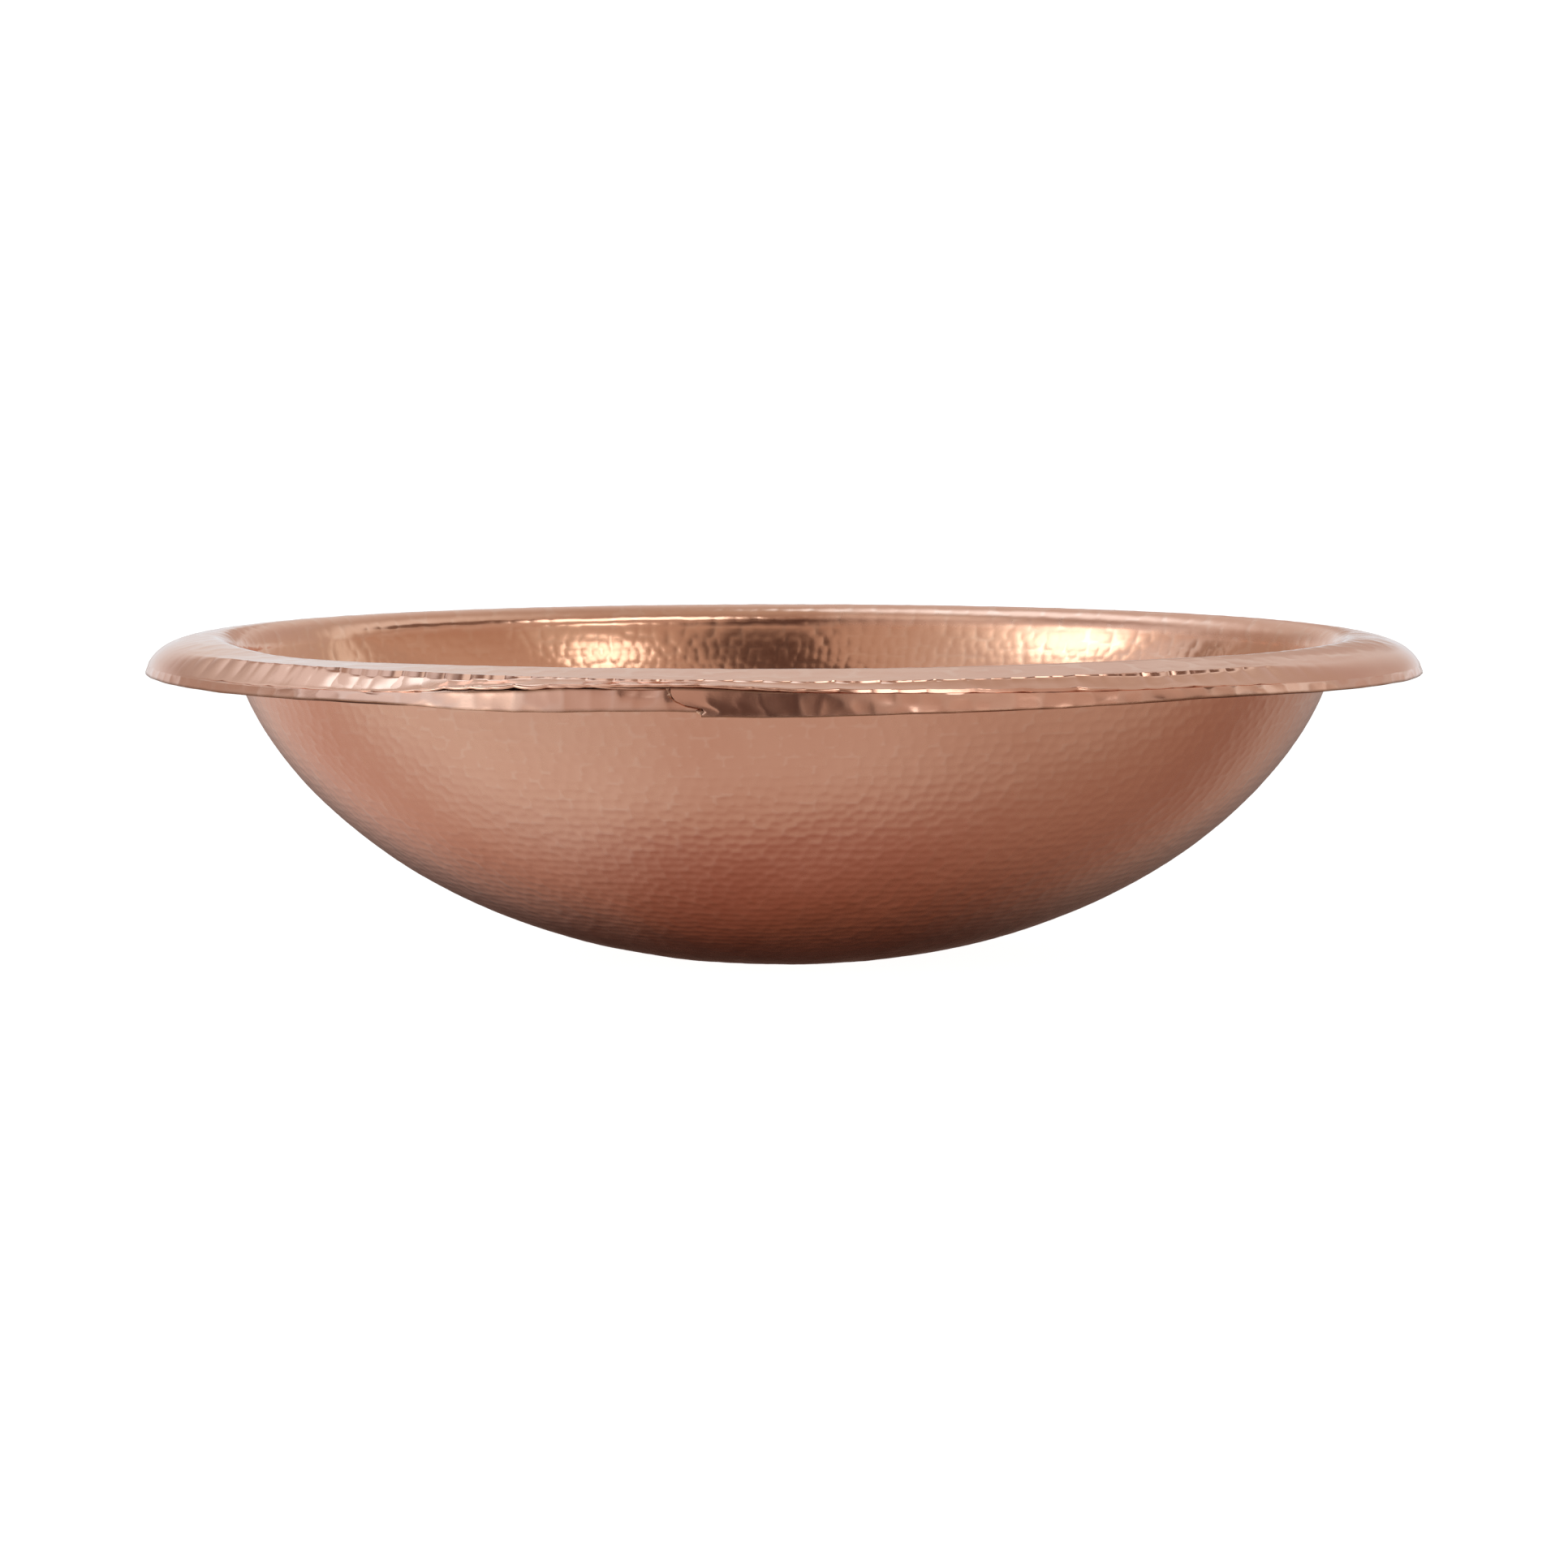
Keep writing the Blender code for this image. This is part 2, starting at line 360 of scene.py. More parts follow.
def capped_faces(across, along):
    """Faces of a closed section swept along, its two ends closed by ladders of quads."""
    faces = []
    for i in range(along - 1):
        faces += ring_faces(across, across, i * across, (i + 1) * across)
    last = (along - 1) * across
    for i in range(across // 2 - 1):
        cap = [i, i + 1, across - 2 - i, across - 1 - i]
        faces.append(cap[::-1])
        faces.append([last + corner for corner in cap])
    return faces


def signed_volume(points, faces):
    """Six times the volume inside the faces' first corners: below zero where they face in."""
    corners = points[np.array([face[:3] for face in faces])]
    return np.einsum("ij,ij->i", corners[:, 0], np.cross(corners[:, 1], corners[:, 2])).sum()


SHARP_EDGE = math.radians(50.0)


def placed(name, data):
    """A new object that holds this mesh or camera, linked into the scene."""
    thing = bpy.data.objects.new(name, data)
    bpy.context.scene.collection.objects.link(thing)
    return thing


def make_piece(name, points, faces, material, attributes):
    """An object from points and faces, facing out, with its per-point attributes."""
    if signed_volume(points, faces) < 0.0:
        faces = [face[::-1] for face in faces]
    mesh = bpy.data.meshes.new(name)
    mesh.from_pydata(points.tolist(), [], faces)
    mesh.update()
    mesh.shade_smooth()
    mesh.set_sharp_from_angle(angle=SHARP_EDGE)
    for label, values in attributes.items():
        layer = mesh.attributes.new(label, "FLOAT", "POINT")
        layer.data.foreach_set("value", np.asarray(values, np.float32))
    mesh.materials.append(material)
    return placed(name, mesh)


def rings_to_piece(name, rings, values, material):
    """One closed piece from rings of points stacked round a closed section.

    values holds, for each attribute, one array per ring.
    """
    starts = np.concatenate(([0], np.cumsum([len(ring) for ring in rings])))
    faces = []
    for i, ring in enumerate(rings):
        j = (i + 1) % len(rings)
        faces += ring_faces(len(ring), len(rings[j]), starts[i], starts[j])
    points = np.concatenate(rings)
    attributes = {label: np.concatenate(parts) for label, parts in values.items()}
    return make_piece(name, points, faces, material, attributes)


# ---- shell

# Rows of long marks round the rim: along the lip, on the band, and into the shoulder line.
LIP_MARKS = {"pitch": 9.5 * MM, "depth": 0.5 * MM, "seed": 11, "jitter": 0.6, "lift": 0.8}
BAND_MARKS = {"pitch": 10.0 * MM, "depth": 0.12 * MM, "seed": 12, "jitter": 0.7, "lift": 0.9}
LINE_MARKS = {"pitch": 9.0 * MM, "depth": 0.6 * MM, "seed": 13, "jitter": 0.8, "lift": 0.9}
# Each mark on the band turns it, in waves too, and the band is left this hollow between them.
BAND_TURN = math.radians(4.5)
BAND_WAVE = math.radians(2.0)
BAND_HOLLOW = 0.10 * MM
BAND_HALF = 1.7 * MM
LINE_WANDER = 0.9 * MM
# The step down from the land to the band: everywhere, and more where the marks bit deepest
# at their tops, which is at these shares of the half length, with a width and a strength.
STEP_PLAIN = 0.15 * MM
STEP_DEEP = 1.7 * MM
STEP_BITE = 1.0 * MM
STEP_LEAN = 0.55
DEEP_PLACES = ((-0.54, 0.15, 1.0), (0.60, 0.12, 0.55))
# The round nose at the rim's two ends: the corners of one curve, in millimetres.
NOSE = ((1.36, 3.45), (4.0, 9.0), (12.0, 13.5), (25.0, 14.0))
# Turns, in degrees, that round the lip's edge over, and how far up its flat each row stands.
LIP_EDGE = ((0.0, 0.0), (30.0, 0.12), (60.0, 0.88))
# Depth and reach, across the band, of the flat planished on the lip's edge.
FLAT_DEPTH = 0.75 * MM
FLAT_REACH = 1.06 * MM


def lip_scallop(angle, length):
    """How far the marks along the lip have drawn its edge back, round the rim."""
    drawn, _ = facets(length, RIM_LENGTH, **LIP_MARKS)
    return (0.75 * drawn - 0.1 * MM) * (1.0 - end_share(angle))


def outer_face(angle, length):
    """Underside and outside of the shell, from the lip in to the drain, unhammered.

    Also gives the numbers of the stations where the roll, the wall and the land begin.
    """
    inset, rise = lip_section(angle)
    slope = np.arctan2(SHOULDER[1] - rise, SHOULDER[0] - inset)
    scallop = lip_scallop(angle, length)
    inset = inset + scallop * np.cos(slope)
    rise = rise + scallop * np.sin(slope)
    stations = []
    for part in np.linspace(0.0, 1.0, UNDER_BAND_ROWS)[:-1]:
        stations.append((inset + (SHOULDER[0] - inset) * part, rise + (SHOULDER[1] - rise) * part))
    for part in np.linspace(0.0, 1.0, LAND_ROWS):
        stations.append((SHOULDER[0] + (CREST[0] - SHOULDER[0]) * part,
                         SHOULDER[1] + (CREST[1] - SHOULDER[1]) * part))
    rim = [on_oval(angle, inset, SKIRT_BASE + rise - formed_drop(angle, inset))
           for inset, rise in stations]
    sag = formed_drop(angle, CREST[0])

    def sagged_wall(reach):
        point = wall_point(angle, reach)
        depth = SKIRT_BASE + WALL_TOP - point[:, 2]
        point[:, 2] -= sag * np.exp(-(depth / SAG_REACH) ** 2)
        return point

    wall = [sagged_wall(reach) for reach in wall_reaches()]
    roll = []
    for turn in np.linspace(0.0, 0.5 * math.pi, ROLL_ROWS)[1:-1]:
        point = rim[-1] + (wall[0] - rim[-1]) * math.sin(turn)
        point[:, 2] = rim[-1][:, 2] - ROLL_DROP * (1.0 - math.cos(turn))
        roll.append(point)
    round_plan = np.stack((np.cos(angle), np.sin(angle), 0.0 * angle), axis=-1)
    land = [radius * round_plan for radius in np.linspace(LAND_RADIUS, DRAIN_RADIUS, DRAIN_ROWS)[1:]]
    grid = np.array(rim + roll + wall + land)
    wall_at = len(rim) + len(roll)
    return grid, len(rim), wall_at, wall_at + len(wall)


def end_share(angle):
    """How far the rim's section is a plain round nose here: fully at the two ends."""
    right = (np.cos(angle) - 0.68) / 0.20
    left = (-np.cos(angle) - 0.84) / 0.14
    return eased(np.maximum(right, left))


def lip_sheet(angle):
    """Thickness left at the lip: beaten out thin and flush toward the two ends."""
    part = eased((np.abs(np.cos(angle) + 0.03) - 0.42) / 0.16)
    return LIP_SHEET + (LIP_SHEET_AT_ENDS - LIP_SHEET) * part


def flat_share(angle):
    """How far the lip's edge was planished flat here: at the front, right of the middle."""
    share = np.cos(angle)
    flat = np.clip((share - 0.04) / 0.06, 0.0, 1.0) * np.clip((0.50 - share) / 0.10, 0.0, 1.0)
    return flat * (np.sin(angle) < 0.0)


def deep_share(angle, turn):
    """How deep the marks bit at their tops: at two places, and here and there elsewhere."""
    deep = np.zeros_like(turn)
    for place, width, strength in DEEP_PLACES:
        deep += strength * np.exp(-((np.cos(angle) - place) / width) ** 4)
    deep = deep * (np.sin(angle) < 0.0)
    elsewhere = np.clip(1.5 * smooth_wave(turn, 9, (4, 9, 17)), 0.0, 1.0)
    return np.clip(deep + 0.30 * elsewhere, 0.0, 1.0)


def rim_show_face(angle, length):
    """Top of the rim: the lip's edge, the band, the shoulder line and the land to the crest.

    The marks shift each band bodily, so that the line between them wanders. Also gives the
    number of the station where the land begins.
    """
    turn = length / RIM_LENGTH
    inset, rise = lip_section(angle)
    slope = np.arctan2(SHOULDER[1] - rise, SHOULDER[0] - inset)
    normal = np.stack((-np.sin(slope), np.cos(slope)), -1)
    thick = lip_sheet(angle)[:, None]
    lip = np.stack((inset, rise), -1) + thick * normal
    along = SHOULDER_TOP - lip
    along = along / np.linalg.norm(along, axis=-1, keepdims=True)
    lip = lip + along * lip_scallop(angle, length)[:, None]
    # The shoulder line wanders along the land, and each mark bites into it.
    notch, bite = facets(length, RIM_LENGTH, **LINE_MARKS)
    wander = LINE_WANDER * smooth_wave(turn, 6, (5, 13, 23, 41)) + notch
    ridge = SHOULDER_TOP + np.stack((wander, wander * LAND_SLOPE), -1)
    step = STEP_PLAIN + (STEP_DEEP + STEP_BITE * bite) * deep_share(angle, turn)
    foot = ridge + np.stack((-STEP_LEAN * step, -step), -1)
    # Each mark on the band turns it a little and sinks it a little.
    sunk, draw = facets(length, RIM_LENGTH, **BAND_MARKS)
    turned = np.tan(BAND_TURN * (draw - 0.5) + BAND_WAVE * smooth_wave(turn, 5, (3, 7, 11)))
    rows = []
    for part in np.linspace(0.0, 1.0, BAND_ROWS):
        shift = sunk * 0.5 + BAND_HOLLOW + turned * BAND_HALF * math.sin(TAU * part)
        shift = -shift * math.sin(math.pi * part)
        rows.append(lip + (foot - lip) * part + normal * shift[:, None])
    rows += [foot + (ridge - foot) * part for part in (0.12, 0.88)]
    land_from = len(LIP_EDGE) + len(rows)
    rows += [ridge + (CREST_TOP - ridge) * part for part in np.linspace(0.0, 1.0, LAND_ROWS)]
    # The lip's edge is rounded over, and right of the middle it was planished flat.
    flat = flat_share(angle)[:, None]
    radius = 0.85 * thick
    edge = rows[0]
    corner = edge + along * radius - normal * radius
    foot_of_flat = edge - normal * FLAT_DEPTH
    top_of_flat = edge + along * FLAT_REACH
    rows[0] = edge + along * radius + (FLAT_REACH - radius) * along * flat
    rounded = []
    for degrees, part in LIP_EDGE:
        way = math.radians(degrees)
        bent = corner - along * radius * math.cos(way) + normal * radius * math.sin(way)
        planished = foot_of_flat + (top_of_flat - foot_of_flat) * part
        rounded.append(bent + (planished - bent) * flat)
    ends = end_share(angle)[:, None]
    nose = bezier_points(NOSE, len(rows))
    nose = [nose[0]] * len(rounded) + nose
    rows = [row + (point - row) * ends for row, point in zip(rounded + rows, nose)]
    grid = np.array([on_oval(angle, row[:, 0], SKIRT_BASE + row[:, 1] - formed_drop(angle, row[:, 0]))
                     for row in rows])
    return grid, land_from


def bezier_points(corners, count):
    """Points, in metres, along one cubic curve given by four corners in millimetres."""
    first, second, third, fourth = (np.array(corner) * MM for corner in corners)
    points = []
    for part in np.linspace(0.0, 1.0, count):
        rest = 1.0 - part
        points.append(rest ** 3 * first + 3.0 * rest * rest * part * second
                      + 3.0 * rest * part * part * third + part ** 3 * fourth)
    return points


# Waves left in the raised wall: how many round it and how many to a metre down it.
SWELL_WAVES = ((6, 9.0), (9, 14.0), (13, 6.0), (17, 20.0), (23, 12.0), (31, 26.0))
SWELL_HEIGHT = 0.22 * MM
SWELL_FADE = 25.0 * MM


def swell(turn, down, seed):
    """Slow unevenness left in the raised wall, between about -1 and 1."""
    rng = np.random.default_rng(seed)
    total = np.zeros(np.broadcast_shapes(turn.shape, down.shape))
    for around, per_metre in SWELL_WAVES:
        phase, other = rng.random(2)
        wave = np.sin(TAU * (around * turn + phase)) * np.sin(TAU * (per_metre * down + other))
        total += wave * 9.0 / (around + 4.0)
    return total / 2.0


# Hammer marks on the shell's outside and inside: height of a row and pitch along it, each on
# the rim and on the wall, and how the marks vary.
OUTER_ROW, OUTER_PITCH = (6.5 * MM, 4.0 * MM), (7.0 * MM, 4.9 * MM)
OUTER_MARKS = {"seed": 31, "jitter": 0.40, "lift": 0.35, "tilt": 0.03, "shingle": 0.022}
INNER_ROW, INNER_PITCH = (6.8 * MM, 3.4 * MM), (8.4 * MM, 3.8 * MM)
INNER_MARKS = {"seed": 32, "jitter": 0.45, "lift": 0.5, "tilt": 0.03}
# Depths of the marks: outside at the lip and at the drain, inside on the rim and on the wall.
OUTER_DEPTH = (0.100 * MM, 0.055 * MM)
INNER_DEPTH = (0.070 * MM, 0.060 * MM)
ROW_WANDER = 0.22
# Stations over which the marks change at the roll, and fade at the drain and at the land.
ROLL_BLEND = 20.0
DRAIN_FADE = 6.0
LAND_FADE = 3.0
# Stations from the land's start to where the inside of the basin begins, and its fade.
BASIN_FROM = 14
BASIN_FADE = 8.0
# The dull patch on the roll: stations past the wall's top, half height and strength.
DULL_ABOVE = 6
DULL_HALF = 7.0
DULL = 1.5


def blend(pair, share):
    """From the pair's second value to its first as the share goes from 0 to 1."""
    return pair[1] + (pair[0] - pair[1]) * share


def hammer(grid, turn, inside, land_at, wall_at, drain_at):
    """The grid with its marks beaten in, and how near each point lies to a ridge.

    The three numbers are the stations where the rim's land, the wall and the drain's land
    begin. Inside, the band above the land has marks of its own and gets none here.
    """
    facing = normals_of(grid)
    down = down_length(grid)
    station = np.arange(len(grid))
    fade = np.clip((drain_at - station) / DRAIN_FADE, 0.0, 1.0)
    if inside:
        on_rim = np.clip((wall_at + 0.5 * ROLL_BLEND - station) / ROLL_BLEND, 0.0, 1.0)
        row_size, pitch = blend(INNER_ROW, on_rim), blend(INNER_PITCH, on_rim)
        depth = blend(INNER_DEPTH, on_rim)
        fade = fade * np.clip((station - land_at) / LAND_FADE, 0.0, 1.0)
        facing = -facing
        marks = INNER_MARKS
    else:
        on_rim = np.where(station < wall_at, 1.0, 0.0)
        row_size, pitch = blend(OUTER_ROW, on_rim), blend(OUTER_PITCH, on_rim)
        depth = blend(OUTER_DEPTH, 1.0 - station / len(grid))
        marks = OUTER_MARKS
    mean_size = 0.5 * (row_size[1:] + row_size[:-1])
    rows = np.concatenate(([0.0], np.cumsum(np.diff(down) / mean_size)))[:, None]
    wander = ROW_WANDER * smooth_wave(turn, 22 if inside else 21, (2, 5, 9, 17))
    row = rows + wander[None, :] * np.clip(rows / 4.0, 0.0, 1.0)
    left = planish(row, row_size[:, None], turn[None, :], girth_of(grid)[:, None],
                   pitch[:, None], depth[:, None], **marks)
    sink = np.maximum(RIDGE_TOP * depth[:, None] - left, 0.0) * fade[:, None]
    ridge = np.clip(left / (RIDGE_TOP * depth[:, None]), 0.0, 1.0) * fade[:, None]
    return grid + facing * sink[..., None], ridge


def build_shell(copper):
    """The shell: one sheet from the lip over the land and the roll down to the drain."""
    length = np.linspace(0.0, RIM_LENGTH, COLUMNS, endpoint=False)
    angle = angle_at(length)
    turn = length / RIM_LENGTH
    outer, roll_at, wall_at, drain_at = outer_face(angle, length)
    normals = normals_of(outer)
    down = down_length(outer)
    on_wall = np.clip((down - down[wall_at]) / SWELL_FADE, 0.0, 1.0)
    on_wall *= np.clip((down[drain_at - 1] - down) / SWELL_FADE, 0.0, 1.0)
    uneven = SWELL_HEIGHT * swell(turn[None, :], down[:, None], seed=41) * on_wall[:, None]
    outer = outer + normals * uneven[..., None]
    normals[drain_at - 1:] = (0.0, 0.0, 1.0)
    rim, land_from = rim_show_face(angle, length)
    inner = np.concatenate((rim, outer[roll_at:] + normals[roll_at:] * SHEET))
    shift = len(rim) - roll_at
    wall_inside = wall_at + shift
    outer, outer_ridge = hammer(outer, turn, False, 0, wall_at, drain_at)
    inner, inner_ridge = hammer(inner, turn, True, land_from, wall_inside, drain_at + shift)
    rings = []
    values = {"ridge": [], "satin": [], "basin": []}

    def add_ring(points, ridge, inside, dull):
        step = 2 ** sum(1 for limit in HALVING_GIRTHS if girth_of(points[None])[0] < limit)
        rings.append(points[::step])
        values["ridge"].append(ridge[::step])
        values["satin"].append(dull[::step])
        values["basin"].append(np.full(len(rings[-1]), inside))

    # The roll was left dull on the far side, right of the middle.
    far_right = np.clip((np.cos(angle) - 0.02) / 0.10, 0.0, 1.0)
    far_right = far_right * np.clip(np.sin(angle) / 0.3, 0.0, 1.0)
    for i, points in enumerate(inner):
        inside = min(max((i - land_from - BASIN_FROM) / BASIN_FADE, 0.0), 1.0)
        dull = DULL * far_right * math.exp(-((i - wall_inside + DULL_ABOVE) / DULL_HALF) ** 4)
        add_ring(points, inner_ridge[i], inside, dull)
    for i in reversed(range(len(outer))):
        add_ring(outer[i], outer_ridge[i], 0.0, np.ones(COLUMNS))
    return rings_to_piece("hammered_bowl", rings, values, copper)


# ---- skirt and braze

# Shares of the way up the strip's face at which its rows stand, close together at its edges.
SKIRT_PARTS = (0.0, 0.012, 0.03, 0.055, 0.08, 0.11, 0.2, 0.32, 0.45, 0.59, 0.72, 0.83, 0.91,
               0.945, 0.975, 1.0)
UNDER_LIP = 0.15 * MM
SKIRT_ROW = 6.2 * MM
SKIRT_PITCH = 9.0 * MM
SKIRT_DEPTH = 0.14 * MM
SKIRT_DEEPEST = 0.4 * MM
SKIRT_MARKS = {"jitter": 0.7, "lift": 0.9, "tilt": 0.05}
# On the strip's back the marks stand out by this share of what they sink in front.
SKIRT_SHOW_THROUGH = 0.35
EDGE_WAVE = 0.22 * MM
EDGE_REACH = 4.0 * MM
# How far the painted shade reaches from the low edge, and from the crack under the lip.
PAINTED_SHADE_LOW = 0.65 * MM
PAINTED_SHADE_CRACK = 0.45 * MM


def skirt_section(angle, depth, outside):
    """Stations of the strip's face at a depth behind its outer face: inset and rise."""
    inset, rise = lip_section(angle)
    slope = np.arctan2(SHOULDER[1] - rise, SHOULDER[0] - inset)
    lean_sin, lean_cos = math.sin(SKIRT_LEAN), math.cos(SKIRT_LEAN)
    flare = (depth * lean_cos, -depth * lean_sin)
    tuck = (inset + (GAP + depth) * np.sin(slope), rise - (GAP + depth) * np.cos(slope))
    apart = (tuck[0] - flare[0]) * np.sin(slope) - (tuck[1] - flare[1]) * np.cos(slope)
    reach = apart / (lean_sin * np.sin(slope) - lean_cos * np.cos(slope))
    if outside:
        # The outer face runs right up under the lip.
        reach = (rise - UNDER_LIP - flare[1]) / lean_cos
    knee = (flare[0] + reach * lean_sin, flare[1] + reach * lean_cos)
    end_rise = tuck[1] + (TUCK_END - tuck[0]) * np.tan(slope)
    bottom = depth / lean_cos
    stations = []
    for part in SKIRT_PARTS:
        height = knee[1] * part
        inset_here = bottom + (knee[0] - bottom) * part
        if outside:
            # The bottom edge is filed round.
            inside = np.clip(1.0 - height / EDGE_ROUND, 0.0, 1.0)
            inset_here = inset_here + EDGE_ROUND * (1.0 - np.sqrt(1.0 - inside * inside))
        stations.append((inset_here, height))
    for part in np.linspace(0.0, 1.0, TUCK_ROWS)[1:]:
        stations.append((tuck[0] + (TUCK_END - tuck[0]) * part,
                         tuck[1] + (end_rise - tuck[1]) * part))
    return np.array([[pair[0] + 0.0 * angle, pair[1] + 0.0 * angle] for pair in stations])


def tongue_reach(rise):
    """How far past its plain end the strip's outer end reaches: a rounded, ragged tongue."""
    tongue_low, tongue_height = 2.6 * MM, 4.2 * MM
    part = np.clip((rise - tongue_low) / tongue_height, 0.0, 1.0)
    ragged = 0.5 * MM * np.sin(rise / MM * 2.9) + 0.3 * MM * np.sin(rise / MM * 6.1 + 1.0)
    return TONGUE * np.sqrt(part * (2.0 - part)) + ragged * (1.0 - part)


def build_skirt(copper):
    """The strip round the rim, its ends lapped at the front, hammered in long marks."""
    first = length_at_x(LAP_OUTER_X)
    last = RIM_LENGTH + length_at_x(LAP_INNER_X)
    length = np.linspace(first, last, COLUMNS + 20)
    step_from = RIM_LENGTH + length_at_x(JOGGLE_START_X)
    step_to = RIM_LENGTH + length_at_x(JOGGLE_END_X)
    joggle = (SHEET + GAP) * eased((length - step_from) / (step_to - step_from))
    angle = angle_at(length)
    outside = skirt_section(angle, joggle, True)
    inside = skirt_section(angle, joggle + SHEET, False)
    turn = (length / RIM_LENGTH)[None, :]
    grids = []
    ridges = []
    for side, section in ((0, outside), (1, inside)):
        down = section[:, 1].mean(axis=1)
        row = down[:, None] / SKIRT_ROW + 0.18 * smooth_wave(turn, 51 + side, (4, 9, 19, 31))
        same = np.ones((len(down), 1))
        left = planish(row, SKIRT_ROW * same, turn, RIM_LENGTH * same, SKIRT_PITCH * same,
                       SKIRT_DEPTH * same, seed=61 + side, **SKIRT_MARKS)
        sink = np.clip(RIDGE_TOP * SKIRT_DEPTH - left, 0.0, SKIRT_DEEPEST)
        visible = np.arange(len(down))[:, None] < len(SKIRT_PARTS)
        sink = np.where(visible, sink, UNDER_LIP)
        way = 1.0 if side == 0 else -SKIRT_SHOW_THROUGH
        inset = section[:, 0] + way * sink * math.cos(SKIRT_LEAN)
        rise = section[:, 1] - way * sink * math.sin(SKIRT_LEAN) * (down[:, None] > 1e-6)
        grids.append((inset, rise))
        ridges.append(np.clip(left / (RIDGE_TOP * SKIRT_DEPTH), 0.0, 1.0))
    # The bottom edge was cut by hand.
    edge = EDGE_WAVE * smooth_wave(turn[0], 71, (7, 19, 37, 61)) + 0.2 * MM
    # Painted shade darkens the crack under the lip, most of all left of the seam, and the
    # bottom edge, where shade falls in the gaps.
    share = np.cos(angle)
    crack = np.clip((share + 0.52) / 0.06, 0.0, 1.0) * np.clip((0.14 - share) / 0.18, 0.0, 1.0)
    crack = crack * (np.sin(angle) < 0.0)
    knee = outside[len(SKIRT_PARTS) - 1, 1]
    rings = []
    # Per-point share of painted shade, for each face of the strip.
    painted_shade = []
    for (inset, rise), order in zip(grids, (1, -1)):
        low_edge = np.clip(1.5 - rise / PAINTED_SHADE_LOW, 0.0, 1.0)
        under_lip = np.clip(1.6 - (knee[None, :] - rise) / PAINTED_SHADE_CRACK, 0.0, 1.0)
        painted_shade.append(np.maximum(low_edge, under_lip * crack[None, :])[::order])
        rise = rise + edge[None, :] * np.clip(1.0 - rise / EDGE_REACH, 0.0, 1.0)
        tongue = tongue_reach(rise) * np.exp(-(length - first) / TONGUE_FADE)[None, :]
        around = angle_at(length[None, :] - tongue)
        points = on_oval(around, inset, SKIRT_BASE + rise - formed_drop(around, inset))
        rings.append(points[::order])
    loop = np.concatenate(rings)
    across, along = loop.shape[:2]
    points = loop.transpose(1, 0, 2).reshape(-1, 3)
    values = {"ridge": np.concatenate((ridges[0], ridges[1][::-1])).T.reshape(-1),
              "satin": np.zeros(len(points)),
              "painted_shade": np.concatenate(painted_shade).T.reshape(-1)}
    return make_piece("hammered_skirt", points, capped_faces(across, along), copper, values)


def build_fillet(braze):
    """The run of braze under the flange: a concave fillet, lumpy along its length."""
    length = np.linspace(0.0, RIM_LENGTH, COLUMNS, endpoint=False)
    angle = angle_at(length)
    turn = length / RIM_LENGTH
    lump = 0.5 + 0.5 * smooth_wave(turn, 81, (37, 61, 97, 143, 211))
    slope = (CREST[1] - SHOULDER[1]) / (CREST[0] - SHOULDER[0])
    near = TUCK_END + 2.0 * GAP
    width = (2.2 + 0.9 * lump) * MM
    height = (1.1 + 0.45 * lump) * MM

    def ceiling(inset):
        return SHOULDER[1] + slope * (inset - SHOULDER[0]) - 2.0 * GAP

    section = [(near + 0.0 * turn, ceiling(near) + 0.0 * turn)]
    for share in np.linspace(0.0, 1.0, 7):
        drop = height * (1.0 - math.sin(0.5 * math.pi * share)) + 0.05 * MM
        inset = near + width * share
        section.append((inset, ceiling(inset) - drop))
    inset = near + width
    section.append((inset, ceiling(inset)))
    rings = [on_oval(angle, inset, SKIRT_BASE + rise - formed_drop(angle, inset))
             for inset, rise in section]
    ripple = [np.clip(lump, 0.0, 1.0)] * len(rings)
    dull = [np.ones(COLUMNS)] * len(rings)
    return rings_to_piece("rim_fillet", rings, {"ridge": ripple, "satin": dull}, braze)


def build_bead(braze):
    """The bead of braze that fills the step at the strip's outer end."""
    steps_along = np.linspace(0.0, 1.0, 14)
    steps_up = np.linspace(0.5 * MM, 7.6 * MM, 30)
    thin = 0.3 * MM
    behind = SHEET + 0.5 * GAP
    front, back = [], []
    for share in steps_along:
        columns = ([], [])
        for rise in steps_up:
            lump = 0.08 * MM * math.sin(rise / MM * 2.3 + 5.0 * share)
            lump += 0.06 * MM * math.sin(rise / MM * 5.1 + 9.0 * share)
            depth = thin + (behind - 2.0 * thin) * share ** 0.6 + lump * (1.0 - share)
            width = (1.5 + 0.4 * math.sin(rise / MM * 1.7)) * MM
            x = LAP_OUTER_X - 0.2 * MM - float(tongue_reach(np.array(rise))) - width * share
            angle = np.array(FRONT + math.asin(x / HALF_LENGTH))
            for column, level in zip(columns, (min(depth, behind - 0.1 * MM), behind)):
                inset = rise * math.tan(SKIRT_LEAN) + level / math.cos(SKIRT_LEAN)
                drop = formed_drop(angle, inset)
                column.append(on_oval(angle, inset, SKIRT_BASE + rise - drop))
        front.append(columns[0])
        back.append(columns[1])
    rings = [np.array(f + b[::-1]) for f, b in zip(front, back)]
    faces = capped_faces(len(rings[0]), len(rings))
    points = np.concatenate(rings)
    plain = np.full(len(points), 0.5)
    return make_piece("lap_bead", points, faces, braze, {"ridge": plain, "satin": plain})


# ---- materials

